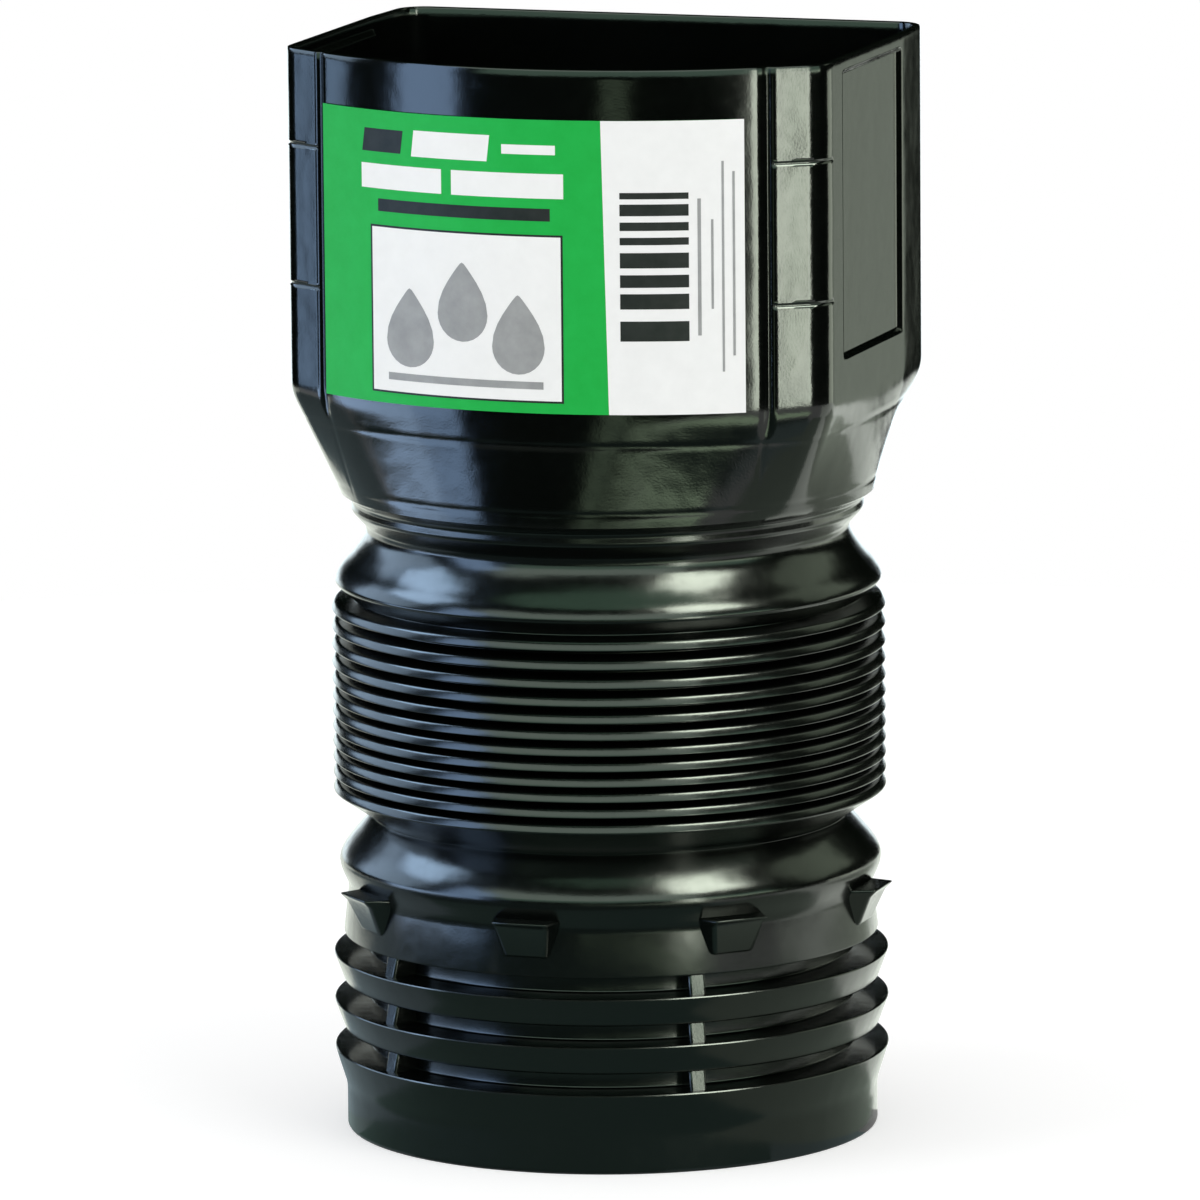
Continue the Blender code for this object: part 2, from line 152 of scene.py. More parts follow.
# Camera: a long lens a little above, turned towards the right side
CAMERA_AZIMUTH = math.radians(18.5)
CAMERA_DISTANCE = 2.300
CAMERA_HEIGHT = 0.4966
CAMERA_AIM = Vector((0.0, 0.0, 0.110))
CAMERA_ROLL = -0.0085
CAMERA_LENS = 362.3
CAMERA_SENSOR = 36.0
CAMERA_SHIFT = (-0.0068, -0.0330)

# Middle of the studio's reflected surroundings, and the floor
STUDIO_CENTRE = Vector((0.0, 0.0, 0.12))
FLOOR_RADIUS = 0.62
FLOOR_GLOW = 0.40
SHEET_LIFT = 0.0002


# Curves in a plane

def unit(dx, dy):
    length = math.hypot(dx, dy)
    return dx / length, dy / length


def between(start, end, share):
    return start + (end - start) * share


def smooth(share):
    share = min(max(share, 0.0), 1.0)
    return share * share * (3 - 2 * share)


def rounded(corners, steps=3):
    """Path through (x, y, radius) corners, each but the ends rounded over about that radius."""
    path = []
    for i, (x, y, radius) in enumerate(corners):
        if radius == 0 or i in (0, len(corners) - 1):
            path.append((x, y))
            continue
        ax, ay, _ = corners[i - 1]
        bx, by, _ = corners[i + 1]
        reach_a = min(radius, math.hypot(ax - x, ay - y) * 0.45)
        reach_b = min(radius, math.hypot(bx - x, by - y) * 0.45)
        adx, ady = unit(ax - x, ay - y)
        bdx, bdy = unit(bx - x, by - y)
        start = (x + adx * reach_a, y + ady * reach_a)
        end = (x + bdx * reach_b, y + bdy * reach_b)
        for k in range(steps + 1):
            t = k / steps
            wa, wc, wb = (1 - t) ** 2, 2 * t * (1 - t), t * t
            path.append((wa * start[0] + wc * x + wb * end[0],
                         wa * start[1] + wc * y + wb * end[1]))
    return path


def offset(points, distance, closed=False):
    """Shift a path to the left of its direction by the distance, with mitred corners."""
    count = len(points)
    shifted = []
    for i, (x, y) in enumerate(points):
        normals = []
        if closed or i > 0:
            dx, dy = unit(x - points[i - 1][0], y - points[i - 1][1])
            normals.append((-dy, dx))
        if closed or i < count - 1:
            nx, ny = points[(i + 1) % count]
            dx, dy = unit(nx - x, ny - y)
            normals.append((-dy, dx))
        nx = sum(n[0] for n in normals)
        ny = sum(n[1] for n in normals)
        stretch = distance * 2 / (nx * nx + ny * ny) if len(normals) == 2 else distance
        shifted.append((x + nx * stretch, y + ny * stretch))
    return shifted


# Profile of the round stretch, as corners of (radius, height, rounding)

def lower_corners():
    """Collar, barbs with their grooves, band, lower shoulder and lower neck, from the bottom up."""
    corners = [(COLLAR_RADIUS - 0.0002, 0.0, 0.0), (COLLAR_RADIUS, 0.0003, 0.0002),
               (COLLAR_RADIUS, COLLAR_HEIGHT, 0.0012)]
    for i in range(BARB_COUNT):
        rim = FIRST_RIM_Z + i * BARB_PITCH
        corners += [(BARB_RIM_RADIUS, rim, BARB_ROUNDING), (GROOVE_RADIUS, rim, GROOVE_ROUNDING),
                    (GROOVE_RADIUS, rim + GROOVE_HEIGHT, GROOVE_ROUNDING),
                    (BARB_LIP_RADIUS, rim + GROOVE_HEIGHT, GROOVE_ROUNDING)]
    corners.append((BAND_TOP_RADIUS, LOWER_SHOULDER_Z, 0.0012))
    widest_z = LOWER_SHOULDER_Z + LOWER_SHOULDER_RISE
    corners += [(LOWER_SHOULDER_RADIUS, widest_z, 0.0024),
                (LOWER_SHOULDER_RADIUS - 0.0008, widest_z + 0.0026, 0.0040),
                (LOWER_NECK_RADIUS + 0.0012, LOWER_NECK_Z + 0.0010, 0.0014),
                (LOWER_NECK_RADIUS, SKIRT_Z, 0.0006)]
    return corners


def pleat_base(i):
    """The pleats are pressed a little closer at the bottom than at the top."""
    height_share = min(1.0, i / (PLEAT_COUNT - 1))
    sag = PLEAT_DROP + PLEAT_SAG * math.sin(math.pi * height_share ** PLEAT_SAG_SKEW)
    return PLEATS_Z + i * PLEAT_PITCH - sag


def valley_z(i):
    """Halfway between the top of a pleat's lip and the next pleat."""
    return (pleat_base(i) + PLEAT_CREST_WIDTH + pleat_base(i + 1)) / 2


def pleat_corners():
    """Each pleat has a narrow lip that faces a little upward, and a deep valley above it."""
    crest_radius = PLEAT_CREST_RADIUS - 0.0001
    corners = []
    for i in range(PLEAT_COUNT):
        base = pleat_base(i)
        corners += [(crest_radius, base, 0.0003),
                    (crest_radius - PLEAT_LIP_FALL, base + PLEAT_CREST_WIDTH, 0.0005),
                    (PLEAT_VALLEY_RADIUS, valley_z(i), 0.0003)]
    return corners


def upper_corners():
    """Upper shoulder with a bend in its flare, a short neck, and a bead in the throat."""
    return [(UPPER_SHOULDER_RADIUS, UPPER_SHOULDER_Z - 0.0003, 0.0006),
            (UPPER_SHOULDER_RADIUS - 0.0009, UPPER_SHOULDER_Z + 0.0018, 0.0022),
            (UPPER_SHOULDER_RADIUS - 0.0035, UPPER_SHOULDER_Z + 0.0044, 0.0025),
            (UPPER_NECK_RADIUS + 0.0001, UPPER_NECK_Z + 0.0024, 0.0025),
            (UPPER_NECK_RADIUS, THROAT_Z + 0.0006, 0.0010),
            (THROAT_RADIUS - 0.0021, THROAT_Z + 0.0037, 0.0006),
            (THROAT_RADIUS - 0.0023, THROAT_Z + 0.0058, 0.0008),
            (THROAT_RADIUS, TRANSITION_Z, 0.0)]


def outer_profile():
    return rounded(lower_corners() + pleat_corners() + upper_corners())


def inner_profile():
    """The inside, which keeps the wall's thickness from the outside, with plainer pleats."""
    lower = offset([c[:2] for c in lower_corners()[1:]], WALL)
    lower[0] = (COLLAR_RADIUS - WALL, 0.0002)
    pleats = []
    for i in range(PLEAT_COUNT):
        crest_z = pleat_base(i) + PLEAT_CREST_WIDTH / 2
        pleats += [(PLEAT_CREST_RADIUS - BELLOWS_WALL * 1.5, crest_z),
                   (PLEAT_VALLEY_RADIUS - BELLOWS_WALL, valley_z(i))]
    upper = offset([c[:2] for c in upper_corners()], WALL)
    upper[0] = (UPPER_SHOULDER_RADIUS - 2 * WALL, UPPER_SHOULDER_Z + WALL / 2)
    upper[-1] = (THROAT_RADIUS - WALL, TRANSITION_Z)
    return [(COLLAR_RADIUS - WALL + 0.0002, 0.0)] + lower + pleats + upper


# Plan of the cup. Each point also says how much of the side panel and of the post it lies on

def front_y(x):
    return -CUP_FRONT + FRONT_BOW_RADIUS - math.sqrt(FRONT_BOW_RADIUS ** 2 - x ** 2)


def arc_points(centre, radius, start, end, steps):
    return [(centre[0] + radius * math.cos(between(start, end, i / steps)),
             centre[1] + radius * math.sin(between(start, end, i / steps)))
            for i in range(steps + 1)]


def line_points(start, end, steps):
    """Points after start, up to but not with end."""
    return [(between(start[0], end[0], i / steps), between(start[1], end[1], i / steps))
            for i in range(1, steps)]


def post_points(start, end):
    """Points along the flat post, close together at its ends so that it looks flat."""
    return [(between(start[0], end[0], share), between(start[1], end[1], share))
            for share in (0.04, 0.2, 0.4, 0.6, 0.8, 0.96)]


def half_plan(groove_depth):
    """Right half of the plan, from the middle of the front round to the middle of the back."""
    side = CUP_WIDTH / 2
    bow_steps = 26
    bow = [(BOW_END * i / bow_steps, front_y(BOW_END * i / bow_steps)) for i in range(bow_steps)]
    post = (POST_X, front_y(POST_X))
    groove_x = BOW_END + POST_GROOVE_WIDTH / 2
    post_end = (POST_X + POST_WIDTH * math.cos(POST_TURN),
                post[1] + POST_WIDTH * math.sin(POST_TURN))
    groove = rounded([(*bow[-1], 0.0), (BOW_END, front_y(BOW_END), POST_GROOVE_EDGE_RADIUS),
                      (groove_x, front_y(groove_x) + groove_depth, POST_GROOVE_FLOOR_RADIUS),
                      (*post, POST_GROOVE_EDGE_RADIUS), (*post_end, 0.0)])[1:-1]
    centre = (side - FRONT_CORNER_RADIUS, post_end[1] + FRONT_CORNER_RADIUS * math.cos(POST_TURN))
    corner = arc_points(centre, FRONT_CORNER_RADIUS, POST_TURN - math.pi / 2, 0.0, 10)
    points = bow + groove + post_points(groove[-1], corner[0]) + corner
    panel_start = centre[1] + PANEL_FRONT_MARGIN
    panel_end = CUP_BACK - BACK_CORNER_RADIUS - PANEL_BACK_MARGIN
    back = side - SIDE_TURN_IN
    back_corner = (back - BACK_CORNER_RADIUS, CUP_BACK - BACK_CORNER_RADIUS)
    ease = PANEL_EDGE / 4  # points lie this close over the eased edges of the side panel
    points += [(side, corner[-1][1] + ease)]
    points += line_points(points[-1], (side, panel_start - ease), 4)
    points += [(side, panel_start + ease * i) for i in range(-1, 6)]
    points += line_points(points[-1], (side, panel_end - 5 * ease), 8)
    points += [(side, panel_end - ease * i) for i in range(5, -2, -1)]
    points += line_points(points[-1], (back, back_corner[1]), 6)
    points += arc_points(back_corner, BACK_CORNER_RADIUS, 0.0, math.pi / 2, 10)
    points += line_points((back_corner[0], CUP_BACK), (0.0, CUP_BACK), 14) + [(0.0, CUP_BACK)]
    weights = []
    for x, y in points:
        on_side = abs(x - side) < 1e-6
        panel = min(smooth((y - panel_start) / PANEL_EDGE), smooth((panel_end - y) / PANEL_EDGE))
        on_post = x > POST_X and y < centre[1]
        weights.append((panel if on_side else 0.0, 1.0 if on_post else 0.0))
    return points, weights


def full_plan(groove_depth):
    """The half plan and its mirror image, once round."""
    points, weights = half_plan(groove_depth)
    left = [(-x, y) for x, y in reversed(points[1:-1])]
    return points + left, weights + weights[1:-1][::-1]


PLAN, PLAN_WEIGHTS = full_plan(POST_GROOVE_DEPTH)
PLAN_INNER = offset(PLAN, WALL, closed=True)
FLUSH_PLAN = full_plan(0.0)[0]
FLUSH_INNER = offset(FLUSH_PLAN, WALL, closed=True)
RAYS = [unit(x, y) for x, y in PLAN]


def circle_ring(bm, radius, z):
    return [bm.verts.new((radius * ux, radius * uy, z)) for ux, uy in RAYS]


def plan_ring(bm, plan, z, radius, share=1.0, panel=0.0, mark=0.0, dent=0.0):
    """A level ring between a circle, at share 0, and the cup's plan, at share 1."""
    ring = []
    for (x, y), (ux, uy), (on_panel, on_post) in zip(plan, RAYS, PLAN_WEIGHTS):
        sunk = PANEL_DEPTH * panel * on_panel
        x -= math.copysign(sunk, x)
        x -= ux * MARK_DEPTH * mark * on_post
        y -= uy * MARK_DEPTH * mark * on_post
        ring.append(bm.verts.new((between(radius * ux, x, share) - ux * dent,
                                  between(radius * uy, y, share) - uy * dent, z)))
    return ring


def skin(bm, lower, upper):
    """Faces between two rings with as many points."""
    count = len(lower)
    for i in range(count):
        j = (i + 1) % count
        bm.faces.new((lower[i], lower[j], upper[j], upper[i]))


def cup_heights(outside):
    """Heights of the cup's rings, close together where the wall bends; the inside has no marks."""
    low = CUP_Z + PANEL_BOTTOM_MARGIN
    high = RIM_Z - PANEL_TOP_MARGIN
    heights = [CUP_Z + 0.0035, CUP_Z + 0.006]
    heights += [low + PANEL_END_EDGE * i / 4 for i in range(-1, 6)]
    heights += [high - PANEL_END_EDGE * i / 4 for i in range(-1, 6)]
    for mark in MARK_HEIGHTS if outside else ():
        heights += [mark + MARK_WIDTH * (i / 6 - 0.5) for i in range(7)]
        heights += [mark - MARK_WIDTH, mark + MARK_WIDTH]
    return sorted(heights + list(EVEN_RING_HEIGHTS))


def ridge(z, centres, width):
    """1 at each centre, falling to 0 half a width away."""
    return max(math.cos(math.pi * min(abs(z - centre) / width, 0.5)) for centre in centres)


def cup_rings(bm, flush_plan, plan, radius, outside):
    """Rings from the throat to the rim; the grooves beside the posts fade out below the cup."""
    rings = []
    heights = [between(TRANSITION_Z, CUP_Z + 0.002, i / 24) for i in range(1, 25)]
    for seam in SEAM_HEIGHTS if outside else ():
        heights += [seam + SEAM_WIDTH * (i / 6 - 0.5) for i in range(7)]
    for z in sorted(heights):
        share = (z - TRANSITION_Z) / (CUP_Z - TRANSITION_Z)
        lead = 0.10  # share of the transition over which it eases into the upright cup
        if share > 1 - lead:
            t = min((share - (1 - lead)) / (2 * lead), 1.0)
            share = (1 - lead) + lead * (2 * t - t * t)
        seam = ridge(z, SEAM_HEIGHTS, SEAM_WIDTH)
        grooved = smooth((z - CUP_Z) / POST_GROOVE_FADE + 1)
        faded = [(between(ax, bx, grooved), between(ay, by, grooved))
                 for (ax, ay), (bx, by) in zip(flush_plan, plan)]
        rings.append(plan_ring(bm, faded, z, radius, share,
                               dent=SEAM_DEPTH * seam if outside else 0.0))
    low = CUP_Z + PANEL_BOTTOM_MARGIN
    high = RIM_Z - PANEL_TOP_MARGIN
    for z in cup_heights(outside):
        panel = min(smooth((z - low) / PANEL_END_EDGE), smooth((high - z) / PANEL_END_EDGE))
        mark = ridge(z, MARK_HEIGHTS, MARK_WIDTH)
        rings.append(plan_ring(bm, plan, z, radius, 1.0, panel, mark if outside else 0.0))
    return rings


def smooth_object(name, bm, material, angle=35):
    bmesh.ops.recalc_face_normals(bm, faces=bm.faces)
    mesh = bpy.data.meshes.new(name)
    bm.to_mesh(mesh)
    bm.free()
    mesh.shade_smooth()
    mesh.set_sharp_from_angle(angle=math.radians(angle))
    mesh.materials.append(material)
    item = bpy.data.objects.new(name, mesh)
    bpy.context.scene.collection.objects.link(item)
    return item


def build_body(material):
    bm = bmesh.new()
    outer = [circle_ring(bm, radius, z) for radius, z in outer_profile()]
    outer += cup_rings(bm, FLUSH_PLAN, PLAN, THROAT_RADIUS, True)
    inner = [circle_ring(bm, radius, z) for radius, z in inner_profile()]
    inner += cup_rings(bm, FLUSH_INNER, PLAN_INNER, THROAT_RADIUS - WALL, False)
    corner = RIM_ROUNDING * 0.3  # the middle of a quarter circle lies this far from both faces
    for depth, drop in ((0.0, RIM_ROUNDING), (corner, corner), (RIM_ROUNDING, 0.0)):
        outer.append(plan_ring(bm, offset(PLAN, depth, closed=True) if depth else PLAN,
                               RIM_Z - drop, THROAT_RADIUS))
        inner.append(plan_ring(bm, offset(PLAN, WALL - depth, closed=True),
                               RIM_Z - drop, THROAT_RADIUS))
    for rings in (outer, inner):
        for lower, upper in zip(rings, rings[1:]):
            skin(bm, lower, upper)
    skin(bm, inner[0], outer[0])
    skin(bm, outer[-1], inner[-1])
    return smooth_object("moulded_body", bm, material)


# Cleats and webs

def add_prism(bm, sections):
    """A closed solid through four-sided sections."""
    rings = [[bm.verts.new(point) for point in section] for section in sections]
    bm.faces.new(reversed(rings[0]))
    bm.faces.new(rings[-1])
    for lower, upper in zip(rings, rings[1:]):
        skin(bm, lower, upper)


def placed(angle, out, across, z):
    """A point at an angle round the axis, by its distance out and its distance across."""
    return (out * math.sin(angle) + across * math.cos(angle),
            -out * math.cos(angle) + across * math.sin(angle), z)


def surface_radius(z):
    """Radius of the band and of the lower shoulder's foot, which carry the cleats."""
    if z < LOWER_SHOULDER_Z:
        return between(BARB_LIP_RADIUS, BAND_TOP_RADIUS, (z - BAND_Z) / BAND_HEIGHT)
    share = (z - LOWER_SHOULDER_Z) / LOWER_SHOULDER_RISE
    return between(BAND_TOP_RADIUS, LOWER_SHOULDER_RADIUS, min(share, 1.0))


def cleat_section(angle, z, share):
    surface = surface_radius(z)
    outer = surface + between(CLEAT_BOTTOM_REACH, CLEAT_TOP_REACH, share)
    half = between(CLEAT_BOTTOM_WIDTH, CLEAT_TOP_WIDTH, share) / 2
    outer_half = half - CLEAT_SIDE_SLOPE
    root = surface - WALL_OVERLAP
    return [placed(angle, root, -half, z), placed(angle, outer, -outer_half, z),
            placed(angle, outer, outer_half, z), placed(angle, root, half, z)]


def add_bevel(item, width, segments):
    bevel = item.modifiers.new("Round edges", "BEVEL")
    bevel.width = width
    bevel.segments = segments
    bevel.limit_method = "ANGLE"
    bevel.angle_limit = math.radians(25)
    return item


def build_cleats(material):
    bm = bmesh.new()
    bottom = BAND_Z + CLEAT_BASE_GAP
    bend = (LOWER_SHOULDER_Z - bottom) / CLEAT_HEIGHT
    for i in range(CLEAT_PLACES):
        if i == EMPTY_CLEAT_PLACE:
            continue
        angle = 2 * math.pi * i / CLEAT_PLACES
        add_prism(bm, [cleat_section(angle, bottom + CLEAT_HEIGHT * share, share)
                       for share in (0.0, bend, 1.0)])
    return add_bevel(smooth_object("cleats", bm, material), CLEAT_BEVEL, 4)


def web_section(angle, outer, z):
    root = GROOVE_RADIUS - WALL_OVERLAP
    half = WEB_WIDTH / 2
    return [placed(angle, root, -half, z), placed(angle, outer, -half, z),
            placed(angle, outer, half, z), placed(angle, root, half, z)]


def build_webs(material):
    bm = bmesh.new()
    for i in range(BARB_COUNT):
        floor = FIRST_RIM_Z + i * BARB_PITCH
        for angle in (WEB_ANGLE, -WEB_ANGLE, math.pi - WEB_ANGLE, math.pi + WEB_ANGLE):
            add_prism(bm, [web_section(angle, WEB_BOTTOM_RADIUS, floor - WEB_OVERLAP),
                           web_section(angle, WEB_TOP_RADIUS,
                                       floor + GROOVE_HEIGHT + WEB_OVERLAP)])
    return add_bevel(smooth_object("webs", bm, material), WEB_BEVEL, 3)


# Label

def on_label(x, z, lift):
    """A point above the bowed front, at a distance across and a height."""
    nx = x / FRONT_BOW_RADIUS
    ny = -math.sqrt(1 - nx * nx)
    return (x + nx * lift, front_y(x) + ny * lift, z)


def build_label(material):
    bm = bmesh.new()
    columns = 64
    grid = []
    for i in range(columns + 1):
        x = between(LABEL_LEFT, LABEL_RIGHT, i / columns)
        grid.append([bm.verts.new(on_label(x, z, lift))
                     for lift in (LABEL_GAP, LABEL_GAP + LABEL_THICKNESS)
                     for z in (LABEL_BOTTOM, LABEL_TOP)])
    for a, b in zip(grid, grid[1:]):
        bm.faces.new((a[0], b[0], b[1], a[1]))
        bm.faces.new((a[2], a[3], b[3], b[2]))
        bm.faces.new((a[0], a[2], b[2], b[0]))
        bm.faces.new((a[1], b[1], b[3], a[3]))
    for end in (grid[0], grid[-1]):
        bm.faces.new((end[0], end[1], end[3], end[2]))
    return smooth_object("label_sheet", bm, material)


def rectangle(left, bottom, right, top):
    return [(left, bottom), (right, bottom), (right, top), (left, top)]


def slanted(left, bottom, right, top, slant):
    return [(left, bottom), (right, bottom), (right + slant, top), (left + slant, top)]


def drop(x, z, radius, sides=28, narrowing=0.675, stretch=1.9):
    """A water drop: a disc drawn up to a point."""
    outline = []
    for i in range(sides):
        angle = 2 * math.pi * i / sides
        px, pz = radius * math.cos(angle), radius * math.sin(angle)
        if pz > 0:
            px *= 1 - narrowing * (pz / radius) ** 2
            pz *= stretch
        outline.append((x + px, z + pz))
    return outline


def build_print(name, shapes, material, layer):
    """Flat shapes, in millimetres from the label's lower left corner, laid on its curved face."""
    bm = bmesh.new()
    lift = LABEL_GAP + LABEL_THICKNESS + PRINT_LIFT * layer
    for shape in shapes:
        bm.faces.new([bm.verts.new((x, 0.0, z)) for x, z in shape])
    width = (LABEL_RIGHT - LABEL_LEFT) * 1000
    steps = 42
    for i in range(1, steps):
        geometry = bm.verts[:] + bm.edges[:] + bm.faces[:]
        bmesh.ops.bisect_plane(bm, geom=geometry, plane_co=(width * i / steps, 0, 0),
                               plane_no=(1, 0, 0))
    for vert in bm.verts:
        vert.co = on_label(LABEL_LEFT + vert.co.x / 1000, LABEL_BOTTOM + vert.co.z / 1000, lift)
    bmesh.ops.triangulate(bm, faces=bm.faces)
    return smooth_object(name, bm, material)


# Materials

def new_material(name):
    material = bpy.data.materials.new(name)
    material.use_nodes = True
    nodes = material.node_tree.nodes
    return material, nodes, material.node_tree.links, nodes["Principled BSDF"]


def noise(nodes, links, vector, scale, detail=3.0, roughness=0.5):
    node = nodes.new("ShaderNodeTexNoise")
    node.inputs["Scale"].default_value = scale
    node.inputs["Detail"].default_value = detail
    node.inputs["Roughness"].default_value = roughness
    links.new(vector, node.inputs["Vector"])
    return node.outputs["Fac"]


def ramp(nodes, links, source, stops):
    node = nodes.new("ShaderNodeValToRGB")
    elements = node.color_ramp.elements
    while len(elements) < len(stops):
        elements.new(0.5)
    for element, (position, value) in zip(elements, stops):
        element.position = position
        colour = value if isinstance(value, tuple) else (value, value, value)
        element.color = (*colour, 1.0)
    links.new(source, node.inputs["Fac"])
    return node.outputs["Color"]


def bump(nodes, links, height, distance, strength, normal=None):
    node = nodes.new("ShaderNodeBump")
    node.inputs["Distance"].default_value = distance
    node.inputs["Strength"].default_value = strength
    links.new(height, node.inputs["Height"])
    if normal is not None:
        links.new(normal, node.inputs["Normal"])
    return node.outputs["Normal"]


def mix_colour(nodes, links, share, first, second):
    """Mix two colours; the Mix node's colour sockets are inputs 6 and 7 and output 2."""
    node = nodes.new("ShaderNodeMix")
    node.data_type = "RGBA"
    links.new(share, node.inputs["Factor"])
    for socket, value in ((node.inputs[6], first), (node.inputs[7], second)):
        if isinstance(value, tuple):
            socket.default_value = (*value, 1.0)
        else:
            links.new(value, socket)
    return node.outputs[2]


def plastic_material():
    """Blow-moulded polyethylene: a glossy cup, satin below it, with mottle, waves and dust."""
    material, nodes, links, shader = new_material("black_polyethylene")
    place = nodes.new("ShaderNodeTexCoord").outputs["Object"]
    mottle = noise(nodes, links, place, 60, 4)
    waves = noise(nodes, links, place, 90, 2)
    grain = noise(nodes, links, place, 2600, 3)
    dust = noise(nodes, links, place, 420, 6, 0.7)
    # Painted highlight: sharp edges, where the pointiness is high, get a lighter base colour
    edge = nodes.new("ShaderNodeNewGeometry").outputs["Pointiness"]
    painted_edge_highlight = ramp(nodes, links, edge, [(0.52, 0.0), (0.60, 1.0)])
    base = ramp(nodes, links, mottle, [(0.3, (0.0008, 0.0012, 0.0009)),
                                       (0.7, (0.0015, 0.0020, 0.0016))])
    base_and_painted_edge_highlight = mix_colour(nodes, links, painted_edge_highlight, base, (0.006, 0.007, 0.006))
    links.new(base_and_painted_edge_highlight, shader.inputs["Base Color"])
    polish = ramp(nodes, links, dust, [(0.35, 0.11), (0.62, 0.14), (0.8, 0.21)])
    satin = ramp(nodes, links, dust, [(0.35, 0.18), (0.62, 0.22), (0.8, 0.28)])
    split = nodes.new("ShaderNodeSeparateXYZ")
    links.new(place, split.inputs[0])
    height = nodes.new("ShaderNodeMapRange")
    height.inputs["From Min"].default_value = TRANSITION_Z - 0.003
    height.inputs["From Max"].default_value = TRANSITION_Z + 0.004
    links.new(split.outputs["Z"], height.inputs["Value"])
    links.new(mix_colour(nodes, links, height.outputs["Result"], satin, polish),
              shader.inputs["Roughness"])
    soft = bump(nodes, links, waves, 0.0012, 0.13)
    fine = bump(nodes, links, grain, 0.00003, 0.35, soft)
    links.new(fine, shader.inputs["Normal"])
    shader.inputs["IOR"].default_value = 1.52
    shader.inputs["Specular Tint"].default_value = (0.97, 1.0, 0.97, 1.0)
    return material


def print_material(name, dark, light, roughness):
    """Printed film: slight ink mottle, satin sheen and a trace of paper fibre."""
    material, nodes, links, shader = new_material(name)
    place = nodes.new("ShaderNodeTexCoord").outputs["Object"]
    ink = noise(nodes, links, place, 240, 5, 0.6)
    fibre = noise(nodes, links, place, 1800, 4)
    links.new(ramp(nodes, links, ink, [(0.3, dark), (0.7, light)]), shader.inputs["Base Color"])
    links.new(ramp(nodes, links, fibre, [(0.3, roughness - 0.06), (0.7, roughness + 0.08)]),
              shader.inputs["Roughness"])
    links.new(bump(nodes, links, fibre, 0.00004, 0.3), shader.inputs["Normal"])
    shader.inputs["Specular IOR Level"].default_value = 0.2
    return material


# Stage

def emitting(name, colour, strength):
    material = bpy.data.materials.new(name)
    material.use_nodes = True
    nodes = material.node_tree.nodes
    nodes.clear()
    light = nodes.new("ShaderNodeEmission")
    light.inputs["Color"].default_value = (*colour, 1.0)
    light.inputs["Strength"].default_value = strength
    out = nodes.new("ShaderNodeOutputMaterial")
    material.node_tree.links.new(light.outputs["Emission"], out.inputs["Surface"])
    return material


def build_floor():
    """A pale round floor that shows white to the camera and keeps the object's shadow."""
    bm = bmesh.new()
    bmesh.ops.create_circle(bm, cap_ends=True, segments=96, radius=FLOOR_RADIUS)
    mesh = bpy.data.meshes.new("floor")
    bm.to_mesh(mesh)
    bm.free()
    floor = bpy.data.objects.new("floor", mesh)
    bpy.context.scene.collection.objects.link(floor)
    material = bpy.data.materials.new("pale_floor")
    material.use_nodes = True
    nodes = material.node_tree.nodes
    links = material.node_tree.links
    nodes.clear()
    diffuse = nodes.new("ShaderNodeBsdfDiffuse")
    diffuse.inputs["Color"].default_value = (0.80, 0.80, 0.80, 1.0)
    glow = nodes.new("ShaderNodeEmission")
    path = nodes.new("ShaderNodeLightPath")
    scale = nodes.new("ShaderNodeMath")
    scale.operation = "MULTIPLY"
    scale.inputs[1].default_value = FLOOR_GLOW
    links.new(path.outputs["Is Camera Ray"], scale.inputs[0])
    links.new(scale.outputs[0], glow.inputs["Strength"])
    total = nodes.new("ShaderNodeAddShader")
    out = nodes.new("ShaderNodeOutputMaterial")
    links.new(diffuse.outputs[0], total.inputs[0])
    links.new(glow.outputs[0], total.inputs[1])
    links.new(total.outputs[0], out.inputs["Surface"])
    mesh.materials.append(material)


def build_world():
    world = bpy.data.worlds.new("studio")
    bpy.context.scene.world = world
    world.use_nodes = True
    nodes = world.node_tree.nodes
    links = world.node_tree.links
    background = nodes["Background"]
    background.inputs["Color"].default_value = (1.0, 1.0, 1.0, 1.0)
    path = nodes.new("ShaderNodeLightPath")
    seen = nodes.new("ShaderNodeMath")
    seen.operation = "MAXIMUM"
    links.new(path.outputs["Is Camera Ray"], seen.inputs[0])
    links.new(path.outputs["Is Transmission Ray"], seen.inputs[1])
    seen_glossy = nodes.new("ShaderNodeMath")
    seen_glossy.operation = "MAXIMUM"
    links.new(seen.outputs[0], seen_glossy.inputs[0])
    links.new(path.outputs["Is Glossy Ray"], seen_glossy.inputs[1])
    level = nodes.new("ShaderNodeMapRange")
    level.inputs["To Min"].default_value = 0.75
    level.inputs["To Max"].default_value = 1.0
    links.new(seen_glossy.outputs[0], level.inputs["Value"])
    links.new(level.outputs["Result"], background.inputs["Strength"])


def direction(azimuth, elevation):
    """Unit vector; azimuth 0 points to the front, and positive azimuth to the right."""
    a, e = math.radians(azimuth), math.radians(elevation)
    return Vector((math.sin(a) * math.cos(e), -math.cos(a) * math.cos(e), math.sin(e)))


def add_stage(name, bm, colour):
    """Studio furniture that only reflections see: it lights nothing and casts no shadow."""
    mesh = bpy.data.meshes.new(name)
    bm.to_mesh(mesh)
    bm.free()
    level = max(colour)
    mesh.materials.append(emitting(name, [part / level for part in colour], level))
    item = bpy.data.objects.new(name, mesh)
    bpy.context.scene.collection.objects.link(item)
    item.visible_camera = False
    item.visible_diffuse = False
    item.visible_shadow = False


